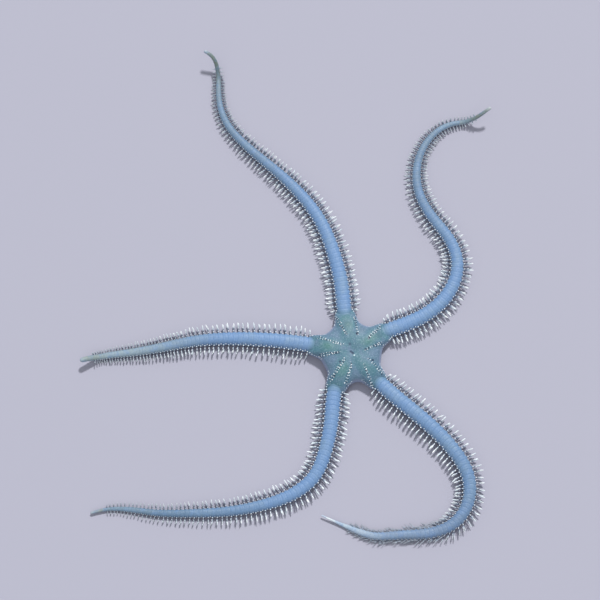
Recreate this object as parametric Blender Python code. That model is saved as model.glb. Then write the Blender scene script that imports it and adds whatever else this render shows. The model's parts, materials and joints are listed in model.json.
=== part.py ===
"""A brittle star at life size, lying on its underside with its five arms spread in slow curves.

The disc, the frame of jaws round the mouth and the lengths of each arm are separate closed
solids. The arms carry their spines, and the disc its rows of granules. Units are metres, +Z is
up, the floor is z = 0, and the origin is on the floor under the middle of the whole outline.
"""

import math
import random

import bmesh
import bpy
import numpy as np
from mathutils import Matrix, Vector

MM = 0.001
GAP = 0.3 * MM
WELD = 0.01 * MM
UP = Vector((0, 0, 1))

# The disc's middle, seen from the middle of the whole outline.
DISC_CENTRE = Vector((20.1 * MM, -20.45 * MM, 0.0))

# Disc: a round edge with a lobe over the root of each arm, a domed back and a flat belly
DISC_HEIGHT = 5.8 * MM
DISC_RIM_HEIGHT = 2.2 * MM
DISC_EDGE_RADIUS = 9.7 * MM
LOBE_HALF_WIDTH = 3.5 * MM
LOBE_REACH = 17.0 * MM
LOBE_BLEND = 6.0
DISC_SIDES = 60
BACK_RINGS = (0.28, 0.52, 0.72, 0.86, 0.95, 1.0)
BELLY_FLAT_SHARE = 0.84
BELLY_RINGS = (0.96, 0.9, BELLY_FLAT_SHARE)
DOME_POWER = 4
RIB_HEIGHT = 0.2 * MM
RIB_SPREAD = 1.9 * MM
RIB_START = 4.0 * MM

# Rows of granules along both sides of the rib that runs over the disc to each arm. A row's ends
# are given as the way out from the disc's middle and the way off the rib's crest.
GRANULES_IN_ROW = 5
GRANULE_RADIUS = 0.36 * MM
GRANULE_TOP_RADIUS = 0.18 * MM
GRANULE_HEIGHT = 0.42 * MM
ROW_START = (4.8 * MM, 1.75 * MM)
ROW_END = (11.4 * MM, 2.65 * MM)

# Mouth: a frame of five jaws in a round recess of the belly, and the gullet above it
MOUTH_RADIUS = 3.4 * MM
MOUTH_SIDES = 40
MOUTH_THICKNESS = 1.2 * MM
MOUTH_LIFT = 0.15 * MM
MOUTH_SLOT_LENGTH = 2.5 * MM
MOUTH_SLOT_HALF_WIDTH = 0.34 * MM
JAW_TIP_RADIUS = 0.62 * MM
GULLET_RADIUS = 2.0 * MM
GULLET_TOP = 3.4 * MM
RECESS_SIDES = 30
CUTTER_DEPTH = 2.0 * MM
LOBE_CUTTER_SIZE = 12.0 * MM

# Arms. The section is an oval of half width 1 whose underside is cut off flat.
ARM_ROOT = 13.0 * MM
ARM_HALF_WIDTH = 2.55 * MM
SECTION_SIDES = 10
SECTION_HEIGHT = 1.66
SECTION_WAIST = 0.42
END_RING = 0.25 * MM
TIP_LIFT_SHARE = 0.1
TIP_RINGS = (1.6, 0.7, 0.25)
TIP_ROUNDING = 0.9

# Spines. Each row states where its roots sit on the section, how steeply it rises, its length
# and radii at the arm's root, how many stations it skips to, and the first of them.
SPINE_PITCH = 2.0 * MM
SPINE_SIDES = 4
SPINE_SINK = 0.55 * MM
LEAST_SPINE = 0.5 * MM
SPINE_TAPER = 2.8
SPINE_ROWS = (
    {"around": 2, "rise": 6, "length": 3.05 * MM, "radii": (0.38 * MM, 0.2 * MM),
     "every": 1, "first": 0},
    {"around": 18, "rise": 38, "length": 2.3 * MM, "radii": (0.38 * MM, 0.0),
     "every": 4, "first": 1},
    {"around": 33, "rise": 55, "length": 1.15 * MM, "radii": (0.36 * MM, 0.0),
     "every": 4, "first": 3},
)
FIRST_SPINES_SHARE = 0.55
FIRST_SPINES_REACH = 6.0 * MM
BARE_TIP = 5.0 * MM
USUAL_LEAN = 9.0
LYING_LEAN = 52.0
LYING_BLEND = 0.08

# Each arm's way over the floor from the disc's middle, in millimetres, half its width at its tip
# and the power of its taper, how high its tip is lifted, how many lengths it is divided into, and
# the share of its length past which its spines lie along it. They go round from the arm that
# points to +Y towards -X.
ARMS = (
    {
        "way": ((-2, 12.5), (-3, 22), (-5.5, 33), (-9.5, 43.5), (-16.5, 53.5), (-25, 62),
                (-34.5, 70.5), (-41, 78.5), (-43.6, 87), (-44, 95.5), (-45.4, 100), (-48.6, 102)),
        "tip_half_width": 0.55 * MM,
        "taper": 1.4,
        "tip_lift": 6.0 * MM,
        "lengths": 5,
        "lying_from": 1.0,
    },
    {
        "way": ((-12.5, 2.4), (-24, 3.9), (-38, 4.6), (-49, 4), (-60, 2), (-72, 0), (-81.5, -1.4),
                (-87, -3)),
        "tip_half_width": 0.8 * MM,
        "taper": 1.4,
        "tip_lift": 3.0 * MM,
        "lengths": 4,
        "lying_from": 1.0,
    },
    {
        "way": ((-5.3, -12), (-6.5, -22), (-8.5, -32), (-12, -40), (-19, -45.7), (-28, -49),
                (-39, -51), (-51, -51.6), (-62, -51.4), (-72, -50.2), (-78, -50.4), (-82.5, -51.5)),
        "tip_half_width": 0.55 * MM,
        "taper": 1.4,
        "tip_lift": 0.6 * MM,
        "lengths": 5,
        "lying_from": 1.0,
    },
    {
        "way": ((9.6, -10.5), (15.3, -15.6), (24, -23), (31.8, -31.2), (36.6, -40), (36.6, -47.5),
                (32, -54.6), (24, -57.8), (14.6, -58.4), (6.5, -58.6), (0, -56.5), (-9.8, -52.2)),
        "tip_half_width": 0.55 * MM,
        "taper": 2.0,
        "tip_lift": 1.0 * MM,
        "lengths": 5,
        "lying_from": 0.62,
    },
    {
        "way": ((11.7, 7), (19.3, 10), (27.5, 15), (33, 22), (34.8, 29.5), (32.6, 37.5), (27, 45.5),
                (22.8, 54), (22.3, 63), (26.5, 72.8), (34.5, 78.3), (42, 79.5), (46.8, 82)),
        "tip_half_width": 0.55 * MM,
        "taper": 1.4,
        "tip_lift": 6.0 * MM,
        "lengths": 5,
        "lying_from": 1.0,
    },
)
LENGTH_NAMES = {
    4: ("base", "middle", "outer", "tip"),
    5: ("base", "lower", "middle", "outer", "tip"),
}

# Colour, roughness and metallic value of each finish
FINISHES = {
    "disc_skin": ((0.13, 0.27, 0.33), 0.55, 0.0),
    "arm_plates": ((0.27, 0.40, 0.63), 0.45, 0.0),
    "jaw_bone": ((0.62, 0.66, 0.66), 0.5, 0.0),
}


def clear_scene():
    for obj in list(bpy.data.objects):
        bpy.data.objects.remove(obj, do_unlink=True)


def collection_named(name):
    collection = bpy.data.collections.new(name)
    bpy.context.scene.collection.children.link(collection)
    return collection


def remove_collection(collection):
    for obj in list(collection.objects):
        bpy.data.objects.remove(obj, do_unlink=True)
    bpy.data.collections.remove(collection)


def finish_named(name):
    """The material of one finish, made on first use."""
    material = bpy.data.materials.get(name)
    if material is None:
        colour, roughness, metallic = FINISHES[name]
        material = bpy.data.materials.new(name)
        material.use_nodes = True
        shader = material.node_tree.nodes["Principled BSDF"]
        shader.inputs["Base Color"].default_value = (*colour, 1.0)
        shader.inputs["Roughness"].default_value = roughness
        shader.inputs["Metallic"].default_value = metallic
    return material


def dress(obj, finish, crease=35.0):
    """Gives the object its finish, and smooth shading with sharp creases."""
    obj.data.materials.clear()
    obj.data.materials.append(finish_named(finish))
    obj.data.shade_smooth()
    obj.data.set_sharp_from_angle(angle=math.radians(crease))


def object_from(mesh, name, collection, matrix=None):
    obj = bpy.data.objects.new(name, mesh)
    collection.objects.link(obj)
    if matrix is not None:
        obj.matrix_world = matrix
    return obj


def hide_helper(obj):
    obj.hide_render = True
    obj.display_type = "WIRE"


def mesh_from(made, name):
    """A mesh of the bmesh, which is freed."""
    mesh = bpy.data.meshes.new(name)
    made.to_mesh(mesh)
    made.free()
    return mesh


def largest_shell(mesh):
    """Keeps only the closed surface with the most points."""
    made = bmesh.new()
    made.from_mesh(mesh)
    unseen = set(made.verts)
    shells = []
    while unseen:
        shell, waiting = set(), [unseen.pop()]
        while waiting:
            vertex = waiting.pop()
            shell.add(vertex)
            for edge in vertex.link_edges:
                other = edge.other_vert(vertex)
                if other in unseen:
                    unseen.remove(other)
                    waiting.append(other)
        shells.append(shell)
    shells.sort(key=len)
    for shell in shells[:-1]:
        bmesh.ops.delete(made, geom=list(shell), context="VERTS")
    made.to_mesh(mesh)
    made.free()


def apply_booleans(obj):
    """Applies the object's Booleans and drops any loose scrap."""
    bpy.context.view_layer.update()
    graph = bpy.context.evaluated_depsgraph_get()
    obj.data = bpy.data.meshes.new_from_object(obj.evaluated_get(graph))
    obj.modifiers.clear()
    largest_shell(obj.data)


def join_pieces(obj, pieces):
    """Fuses a collection of closed pieces into the object, and removes the collection."""
    union = obj.modifiers.new("join", "BOOLEAN")
    union.operation = "UNION"
    union.operand_type = "COLLECTION"
    union.collection = pieces
    union.solver = "MANIFOLD"
    apply_booleans(obj)
    remove_collection(pieces)


def cut_away(obj, cutters):
    for cutter in cutters.objects:
        cut = obj.modifiers.new(cutter.name, "BOOLEAN")
        cut.operation = "DIFFERENCE"
        cut.object = cutter
        cut.solver = "EXACT"
    apply_booleans(obj)


def smooth_step(x):
    x = min(1.0, max(0.0, x))
    return x * x * (3.0 - 2.0 * x)


def smooth_line(places, samples=1200):
    """Points on a natural cubic spline through the places, evenly stepped by chord length."""
    knots = np.concatenate(([0.0], np.cumsum(np.hypot(*np.diff(places, axis=0).T))))
    spans = np.diff(knots)
    count = len(knots)
    system = np.eye(count)
    turns = np.zeros((count, 2))
    for i in range(1, count - 1):
        system[i, i - 1 : i + 2] = spans[i - 1], 2 * (spans[i - 1] + spans[i]), spans[i]
        after = (places[i + 1] - places[i]) / spans[i]
        before = (places[i] - places[i - 1]) / spans[i - 1]
        turns[i] = 6 * (after - before)
    bends = np.linalg.solve(system, turns)
    at = np.linspace(0.0, knots[-1], samples)
    i = np.clip(np.searchsorted(knots, at, side="right") - 1, 0, count - 2)
    span, past, left = spans[i], at - knots[i], knots[i + 1] - at
    bent = (bends[i].T * left**3 + bends[i + 1].T * past**3) / (6 * span)
    start = (places[i].T / span - bends[i].T * span / 6) * left
    end = (places[i + 1].T / span - bends[i + 1].T * span / 6) * past
    return (bent + start + end).T


class ArmRoute:
    """The line along an arm's underside, from the disc's middle to the arm's tip.

    A place on it is given by s, the way along the line.
    """

    def __init__(self, arm):
        self.line = smooth_line(np.array([(0.0, 0.0), *arm["way"]]) * MM)
        steps = np.hypot(*np.diff(self.line, axis=0).T)
        self.along = np.concatenate(([0.0], np.cumsum(steps)))
        self.length = float(self.along[-1])
        self.tip_half_width = arm["tip_half_width"]
        self.taper = arm["taper"]
        self.tip_lift = arm["tip_lift"]
        self.lying_from = arm["lying_from"]

    def share(self, s):
        """How far along the free arm s is, from 0 at its root to 1 at its tip."""
        return (s - ARM_ROOT) / (self.length - ARM_ROOT)

    def point(self, s):
        x, y = (float(np.interp(s, self.along, self.line[:, k])) for k in (0, 1))
        lift = self.tip_lift * smooth_step(1 - (1 - self.share(s)) / TIP_LIFT_SHARE)
        return DISC_CENTRE + Vector((x, y, lift))

    def frame(self, s):
        """The point at s, and the directions along, to the left and up there."""
        step = 0.4 * MM
        along = self.point(min(s + step, self.length)) - self.point(s - step)
        along.normalize()
        left = UP.cross(along).normalized()
        return self.point(s), along, left, along.cross(left)

    def half_width(self, s):
        """Half the arm's width, which tapers to the tip and is rounded off at its end."""
        left = 1 - max(0.0, self.share(s)) ** self.taper
        width = self.tip_half_width + (ARM_HALF_WIDTH - self.tip_half_width) * left
        past = max(0.0, 1 - (self.length - s) / self.tip_half_width)
        return width * math.sqrt(1 - TIP_ROUNDING * past**2)

    def spine_stations(self):
        count = int((self.length - BARE_TIP - ARM_ROOT) / SPINE_PITCH)
        return [ARM_ROOT + (k + 0.5) * SPINE_PITCH for k in range(count)]

    def cuts(self, lengths):
        """Where the arm's lengths meet, each midway between two spine stations."""
        step = 2 * SPINE_PITCH
        steps = (self.length - ARM_ROOT) / step
        inner = [ARM_ROOT + step * round(k * steps / lengths) for k in range(1, lengths)]
        return [ARM_ROOT, *inner, self.length]


def section_point(angle):
    """A point of the arm's section, as its way across and its height in half widths."""
    height = SECTION_WAIST + (1 - SECTION_WAIST) * math.sin(angle)
    return math.cos(angle), SECTION_HEIGHT * max(0.0, height)


def arm_section(helpers):
    """The arm's section as a closed flat curve, with its underside on the route."""
    curve = bpy.data.curves.new("arm_section", "CURVE")
    curve.dimensions = "2D"
    spline = curve.splines.new("POLY")
    spline.points.add(SECTION_SIDES - 1)
    for k, point in enumerate(spline.points):
        point.co = (*section_point(math.tau * (k + 0.5) / SECTION_SIDES), 0.0, 1.0)
    spline.use_cyclic_u = True
    section = bpy.data.objects.new("arm_section", curve)
    helpers.objects.link(section)
    hide_helper(section)
    return section


def mesh_of_curve(obj, name):
    """The curve object's mesh with its caps welded to its sides. The object is removed."""
    bpy.context.view_layer.update()
    graph = bpy.context.evaluated_depsgraph_get()
    loose = bpy.data.meshes.new_from_object(obj.evaluated_get(graph))
    made = bmesh.new()
    made.from_mesh(loose)
    bmesh.ops.remove_doubles(made, verts=made.verts, dist=WELD)
    bmesh.ops.recalc_face_normals(made, faces=made.faces)
    bpy.data.objects.remove(obj, do_unlink=True)
    return mesh_from(made, name)


def arm_tube(route, start, end, section, name, collection):
    """The bare length of arm from start to end, its two ends square to the route."""
    step = 2 * SPINE_PITCH
    inner = [ARM_ROOT + k * step for k in range(int(route.length / step) + 1)]
    inner = [s for s in inner if start + 0.4 * step < s < end - 0.4 * step]
    at_tip = [route.length - share * route.tip_half_width for share in TIP_RINGS]
    last = at_tip if end == route.length else [end - END_RING]
    stops = [start, start + END_RING, *inner, *last, end]
    curve = bpy.data.curves.new(name, "CURVE")
    curve.dimensions = "3D"
    curve.twist_mode = "Z_UP"
    curve.bevel_mode = "OBJECT"
    curve.bevel_object = section
    curve.use_fill_caps = True
    spline = curve.splines.new("POLY")
    spline.points.add(len(stops) - 1)
    for point, s in zip(spline.points, stops):
        point.co = (*route.point(s), 1.0)
        point.radius = route.half_width(s)
    drawn = bpy.data.objects.new(name, curve)
    collection.objects.link(drawn)
    return object_from(mesh_of_curve(drawn, name), name, collection)


def cone_mesh(name, root_radius, tip_radius, length):
    """A four-sided spine along +Z that stands length above z = 0, with its root sunk below."""
    made = bmesh.new()
    bmesh.ops.create_cone(
        made,
        cap_ends=True,
        segments=SPINE_SIDES,
        radius1=root_radius,
        radius2=tip_radius,
        depth=length + SPINE_SINK,
        matrix=Matrix.Translation((0, 0, (length - SPINE_SINK) / 2)),
    )
    bmesh.ops.remove_doubles(made, verts=made.verts, dist=WELD)
    return mesh_from(made, name)


def standing_at(root, direction, side):
    """Stands a piece on root along direction, with two of its flat sides facing side."""
    up = direction.normalized()
    across = (side - side.project(up)).normalized()
    turn = Matrix((across, up.cross(across), up)).transposed().to_4x4()
    return Matrix.Translation(root) @ turn @ Matrix.Rotation(math.pi / 4, 4, "Z")


def spine_stand(route, s, side, row, rise, lean):
    """Where a spine of the row stands at s, turned up by rise and towards the tip by lean."""
    place, along, left, up = route.frame(s)
    across, height = section_point(math.radians(row["around"]))
    root = place + route.half_width(s) * (side * across * left + height * up)
    outward = side * math.cos(rise) * left + math.sin(rise) * up
    return standing_at(root, math.cos(lean) * outward + math.sin(lean) * along, along)


def spine_length(route, s, row):
    """A spine's length at s: short next to the disc, and shorter again towards the tip."""
    share = route.share(s)
    grown = smooth_step((s - ARM_ROOT) / FIRST_SPINES_REACH)
    grown = FIRST_SPINES_SHARE + (1 - FIRST_SPINES_SHARE) * grown
    return row["length"] * grown * (1 - share**SPINE_TAPER)


def add_spines(route, start, end, pieces, rng):
    """Every row of spines on both sides of one length of arm."""
    for station, s in enumerate(route.spine_stations()):
        grown, raised, turned = rng.uniform(0.92, 1.06), rng.uniform(-5, 5), rng.uniform(-4, 4)
        if not start < s < end:
            continue
        lying = smooth_step((route.share(s) - route.lying_from) / LYING_BLEND)
        lean = math.radians(USUAL_LEAN + (LYING_LEAN - USUAL_LEAN) * lying + turned)
        for row in SPINE_ROWS:
            if station % row["every"] != row["first"]:
                continue
            length = max(LEAST_SPINE, grown * spine_length(route, s, row))
            rise = math.radians(row["rise"] + raised)
            for side in (-1, 1):
                mesh = cone_mesh("spine", *row["radii"], length)
                matrix = spine_stand(route, s, side, row, rise, lean)
                object_from(mesh, "spine", pieces, matrix)


def build_arm(number, arm, route, section, star, rng):
    cuts = route.cuts(arm["lengths"])
    for name, start, end in zip(LENGTH_NAMES[arm["lengths"]], cuts, cuts[1:]):
        node = f"arm_{number}_{name}"
        tube_end = end if name == "tip" else end - GAP / 2
        length = arm_tube(route, start + GAP / 2, tube_end, section, node, star)
        spines = collection_named(f"{node}_spines")
        add_spines(route, start, end, spines, rng)
        join_pieces(length, spines)
        dress(length, "arm_plates")


def turn_from_arm(angle, bearings):
    """The angle to the nearest arm, without a sign."""
    return min(abs(math.remainder(angle - bearing, math.tau)) for bearing in bearings)


def disc_reach(angle, bearings):
    """The disc's radius at an angle: a round edge that runs out into a lobe at each arm."""
    off = max(turn_from_arm(angle, bearings), 0.01)
    lobe = min(LOBE_HALF_WIDTH / math.sin(off), LOBE_REACH)
    return (DISC_EDGE_RADIUS**LOBE_BLEND + lobe**LOBE_BLEND) ** (1 / LOBE_BLEND)


def back_height(angle, share, bearings):
    """The height of the disc's back at a share of the way out to its edge."""
    dome = math.sqrt(max(0.0, 1 - share**DOME_POWER))
    radius = share * disc_reach(angle, bearings)
    off = radius * math.sin(min(turn_from_arm(angle, bearings), math.pi / 2))
    rib = RIB_HEIGHT * smooth_step(radius / RIB_START) * math.exp(-((off / RIB_SPREAD) ** 2))
    return DISC_RIM_HEIGHT + (DISC_HEIGHT - DISC_RIM_HEIGHT + rib) * dome


def belly_height(share):
    """The height of the disc's belly, flat inside and turned up to the rim."""
    past = max(0.0, share - BELLY_FLAT_SHARE) / (1 - BELLY_FLAT_SHARE)
    return DISC_RIM_HEIGHT * (1 - math.sqrt(max(0.0, 1 - past**2)))


def disc_body(bearings, star):
    """The disc before its cuts: rings of points from the crown over the rim to the belly."""
    made = bmesh.new()
    angles = [bearings[0] + math.tau * k / DISC_SIDES for k in range(DISC_SIDES)]
    rings = []
    for share, on_back in [(r, True) for r in BACK_RINGS] + [(r, False) for r in BELLY_RINGS]:
        ring = []
        for angle in angles:
            radius = share * disc_reach(angle, bearings)
            height = back_height(angle, share, bearings) if on_back else belly_height(share)
            place = Vector((radius * math.cos(angle), radius * math.sin(angle), height))
            ring.append(made.verts.new(DISC_CENTRE + place))
        rings.append(ring)
    crown = made.verts.new(DISC_CENTRE + DISC_HEIGHT * UP)
    for k in range(DISC_SIDES):
        after = (k + 1) % DISC_SIDES
        made.faces.new((crown, rings[0][k], rings[0][after]))
        for inner, outer in zip(rings, rings[1:]):
            made.faces.new((inner[k], outer[k], outer[after], inner[after]))
    made.faces.new(reversed(rings[-1]))
    bmesh.ops.recalc_face_normals(made, faces=made.faces)
    return object_from(mesh_from(made, "disc"), "disc", star)


def lobe_cutter(route, cutters):
    """A block whose near face is the flat end of one lobe, square to the arm's route."""
    place, along, left, up = route.frame(ARM_ROOT - GAP / 2)
    made = bmesh.new()
    bmesh.ops.create_cube(made, size=LOBE_CUTTER_SIZE)
    turn = Matrix((along, left, up)).transposed().to_4x4()
    stand = Matrix.Translation(place + along * LOBE_CUTTER_SIZE / 2) @ turn
    hide_helper(object_from(mesh_from(made, "lobe_cutter"), "lobe_cutter", cutters, stand))


def round_cutter(name, radius, top, cutters):
    """An upright cylinder under the disc's middle, from below the floor up to top."""
    depth = top + CUTTER_DEPTH
    made = bmesh.new()
    bmesh.ops.create_cone(
        made, cap_ends=True, segments=RECESS_SIDES, radius1=radius, radius2=radius, depth=depth
    )
    stand = Matrix.Translation(DISC_CENTRE + (top - depth / 2) * UP)
    hide_helper(object_from(mesh_from(made, name), name, cutters, stand))


def add_granules(bearings, pieces, rng):
    """A row of low blunt cones along each side of each rib."""
    for bearing in bearings:
        for side in (-1, 1):
            for k in range(GRANULES_IN_ROW):
                way = (k + rng.uniform(-0.15, 0.15)) / (GRANULES_IN_ROW - 1)
                out, off = (start + (end - start) * way for start, end in zip(ROW_START, ROW_END))
                radius = math.hypot(out, off)
                angle = bearing + side * math.atan2(off, out)
                height = back_height(angle, radius / disc_reach(angle, bearings), bearings)
                place = Vector((radius * math.cos(angle), radius * math.sin(angle), height))
                tall = GRANULE_HEIGHT * rng.uniform(0.85, 1.15)
                mesh = cone_mesh("granule", GRANULE_RADIUS, GRANULE_TOP_RADIUS, tall)
                stand = standing_at(DISC_CENTRE + place, UP, Vector((1, 0, 0)))
                object_from(mesh, "granule", pieces, stand)


def build_disc(bearings, routes, star, cutters, rng):
    disc = disc_body(bearings, star)
    for route in routes:
        lobe_cutter(route, cutters)
    round_cutter("mouth_cutter", MOUTH_RADIUS + GAP, MOUTH_LIFT + MOUTH_THICKNESS + GAP, cutters)
    round_cutter("gullet_cutter", GULLET_RADIUS, GULLET_TOP, cutters)
    cut_away(disc, cutters)
    granules = collection_named("granules")
    add_granules(bearings, granules, rng)
    join_pieces(disc, granules)
    dress(disc, "disc_skin")


def jaw_outline(bearings):
    """The star-shaped hole between the jaws: a slot towards each arm, and a tip between two."""
    outline = []
    ordered = sorted(bearing % math.tau for bearing in bearings)
    for bearing, following in zip(ordered, [*ordered[1:], ordered[0] + math.tau]):
        slot = math.atan2(MOUTH_SLOT_HALF_WIDTH, MOUTH_SLOT_LENGTH)
        outline += [(MOUTH_SLOT_LENGTH, bearing - slot), (MOUTH_SLOT_LENGTH, bearing + slot)]
        outline.append((JAW_TIP_RADIUS, (bearing + following) / 2))
    return [(radius * math.cos(angle), radius * math.sin(angle)) for radius, angle in outline]


def build_mouth(bearings, star):
    """The frame of five jaws: a round plate with the star-shaped mouth through it."""
    turns = [math.tau * k / MOUTH_SIDES for k in range(MOUTH_SIDES)]
    rim = [(MOUTH_RADIUS * math.cos(turn), MOUTH_RADIUS * math.sin(turn)) for turn in turns]
    curve = bpy.data.curves.new("mouth_frame", "CURVE")
    curve.dimensions = "2D"
    curve.fill_mode = "BOTH"
    curve.extrude = MOUTH_THICKNESS / 2
    for outline in (rim, jaw_outline(bearings)):
        spline = curve.splines.new("POLY")
        spline.points.add(len(outline) - 1)
        for point, place in zip(spline.points, outline):
            point.co = (*place, 0.0, 1.0)
        spline.use_cyclic_u = True
    drawn = bpy.data.objects.new("mouth_drawn", curve)
    star.objects.link(drawn)
    stand = Matrix.Translation(DISC_CENTRE + (MOUTH_LIFT + MOUTH_THICKNESS / 2) * UP)
    mesh = mesh_of_curve(drawn, "mouth_frame")
    dress(object_from(mesh, "mouth_frame", star, stand), "jaw_bone")


def main():
    clear_scene()
    rng = random.Random(7)
    star = collection_named("brittle_star")
    cutters = collection_named("cutters")
    helpers = collection_named("helpers")
    section = arm_section(helpers)
    routes = [ArmRoute(arm) for arm in ARMS]
    bearings = [math.atan2(*(route.point(ARM_ROOT) - DISC_CENTRE).yx) for route in routes]
    for number, (arm, route) in enumerate(zip(ARMS, routes), start=1):
        build_arm(number, arm, route, section, star, rng)
    build_disc(bearings, routes, star, cutters, rng)
    build_mouth(bearings, star)


main()
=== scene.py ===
"""The looks of a still, life-size brittle star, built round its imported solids.

All of it is in metres and in the solids' own frame: +Z is up, the floor is z = 0, and the origin
is on the floor under the middle of the whole outline. The routes of the arms and the form of the
disc are those of the solids. One skin covers the disc and the arms, and the spines, granules,
jaws and tube feet are pieces of their own.
"""

import json
import math

import bpy
import numpy as np
from mathutils.kdtree import KDTree
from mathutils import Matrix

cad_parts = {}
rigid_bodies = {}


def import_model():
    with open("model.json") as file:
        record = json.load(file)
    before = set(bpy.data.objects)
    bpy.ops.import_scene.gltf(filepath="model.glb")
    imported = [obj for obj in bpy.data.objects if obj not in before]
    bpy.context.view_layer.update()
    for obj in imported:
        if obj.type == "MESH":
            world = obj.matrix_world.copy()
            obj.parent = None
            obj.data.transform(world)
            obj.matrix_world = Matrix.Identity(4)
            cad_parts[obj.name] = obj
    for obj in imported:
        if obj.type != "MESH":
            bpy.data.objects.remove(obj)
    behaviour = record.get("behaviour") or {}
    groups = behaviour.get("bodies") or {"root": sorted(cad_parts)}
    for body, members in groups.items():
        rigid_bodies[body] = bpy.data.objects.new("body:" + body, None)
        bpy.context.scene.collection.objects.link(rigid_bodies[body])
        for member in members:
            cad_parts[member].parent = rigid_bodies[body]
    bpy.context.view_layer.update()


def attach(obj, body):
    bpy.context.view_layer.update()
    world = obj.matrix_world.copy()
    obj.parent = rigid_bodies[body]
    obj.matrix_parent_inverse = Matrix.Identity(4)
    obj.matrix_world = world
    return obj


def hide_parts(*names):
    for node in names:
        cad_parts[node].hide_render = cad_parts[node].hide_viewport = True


MM = 0.001
UP = np.array((0.0, 0.0, 1.0))
BODY = "root"

# The solids' own measures: the disc's middle and outline, and the arms' widths
DISC_CENTRE = np.array((20.1, -20.45, 0.0)) * MM
DISC_HEIGHT = 5.8 * MM
DISC_RIM_HEIGHT = 2.2 * MM
DISC_EDGE_RADIUS = 9.7 * MM
LOBE_HALF_WIDTH = 3.5 * MM
LOBE_BLEND = 6.0
DOME_POWER = 4.0
RIB_HEIGHT = 0.2 * MM
RIB_SPREAD = 1.9 * MM
RIB_START = 4.0 * MM
BELLY_FLAT_SHARE = 0.84
ARM_ROOT = 13.0 * MM
ARM_HALF_WIDTH = 2.55 * MM
TIP_LIFT_SHARE = 0.1

# What an arm has unless its own facts say otherwise: the names of its lengths in the solids, half
# its width at its tip there and the share of that which the skin keeps, the power of its taper, the
# stretch at its tip without spines, the size of its outer segments against the usual ones, and the
# share of its length past which its spines lie along it
USUAL_ARM = {
    "lengths": ("base", "lower", "middle", "outer", "tip"),
    "tip_half_width": 0.55 * MM,
    "tip_slimness": 1.0,
    "taper": 1.4,
    "bare": 5.0 * MM,
    "outer_segments": 1.0,
    "lying_from": 1.0,
}
# The arms go round from the one that points to +Y towards -X. Each way runs over the floor from
# the disc's middle, in millimetres. The ends of a granule row are its way out from there and its
# way to the arm's left, in millimetres. Ray green is the strength of the green patch on the disc
# and green_out its way out, and green, pale and fair say how much of those colours the outer arm
# takes. Tip lift is how high the tip is held.
ARMS = (
    {
        "way": ((-2, 12.5), (-3, 22), (-5.5, 33), (-9.5, 43.5), (-16.5, 53.5), (-25, 62),
                (-34.5, 70.5), (-41, 78.5), (-43.6, 87), (-44, 95.5), (-45.4, 100), (-48.6, 102)),
        "granule_rows": (((5.3, 0.8), (12.1, 3.1)), ((5.1, -2.8), (10.7, -2.8))),
        "tip_lift": 6.0 * MM, "bare": 5.5 * MM,
        "ray_green": 0.9, "green_out": 8.6 * MM, "green": 1.0, "pale": 0.2, "fair": 0.15,
    },
    {
        "way": ((-12.5, 2.4), (-24, 3.9), (-38, 4.6), (-49, 4), (-60, 2), (-72, 0), (-81.5, -1.4),
                (-87, -3)),
        "granule_rows": (((3.7, 1.5), (10.3, 3.4)), ((3.1, -1.2), (11.4, -2.3))),
        "lengths": ("base", "middle", "outer", "tip"), "outer_segments": 0.78,
        "tip_lift": 3.0 * MM, "tip_half_width": 0.8 * MM, "bare": 4.0 * MM,
        "ray_green": 1.0, "green_out": 7.4 * MM, "green": 0.5, "pale": 0.2, "fair": 0.8,
    },
    {
        "way": ((-5.3, -12), (-6.5, -22), (-8.5, -32), (-12, -40), (-19, -45.7), (-28, -49),
                (-39, -51), (-51, -51.6), (-62, -51.4), (-72, -50.2), (-78, -50.4), (-82.5, -51.5)),
        "granule_rows": (((3.9, 1.7), (11.1, 2.7)), ((3.6, -0.8), (11.8, -2.4))),
        "tip_lift": 0.6 * MM, "tip_slimness": 0.75,
        "ray_green": 0.9, "green_out": 7.0 * MM, "green": 0.1, "pale": 0.0, "fair": 0.0,
    },
    {
        "way": ((9.6, -10.5), (15.3, -15.6), (24, -23), (31.8, -31.2), (36.6, -40), (36.6, -47.5),
                (32, -54.6), (24, -57.8), (14.6, -58.4), (6.5, -58.6), (0, -56.5), (-9.8, -52.2)),
        "granule_rows": (((5.7, 2.2), (12.5, 2.5)), ((6.3, -0.3), (12.8, -2.7))),
        "tip_lift": 1.0 * MM, "tip_slimness": 0.4, "taper": 2.0, "bare": 10.0 * MM,
        "lying_from": 0.5,
        "ray_green": 0.45, "green_out": 6.6 * MM, "green": 0.0, "pale": 1.0, "fair": 0.0,
    },
    {
        "way": ((11.7, 7), (19.3, 10), (27.5, 15), (33, 22), (34.8, 29.5), (32.6, 37.5), (27, 45.5),
                (22.8, 54), (22.3, 63), (26.5, 72.8), (34.5, 78.3), (42, 79.5), (46.8, 82)),
        "granule_rows": (((6.8, 0.5), (12.3, 2.1)), ((4.0, -2.1), (9.7, -2.9))),
        "tip_lift": 6.0 * MM, "tip_slimness": 0.95,
        "ray_green": 1.0, "green_out": 6.6 * MM, "green": 0.8, "pale": 0.25, "fair": 0.2,
    },
)

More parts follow.
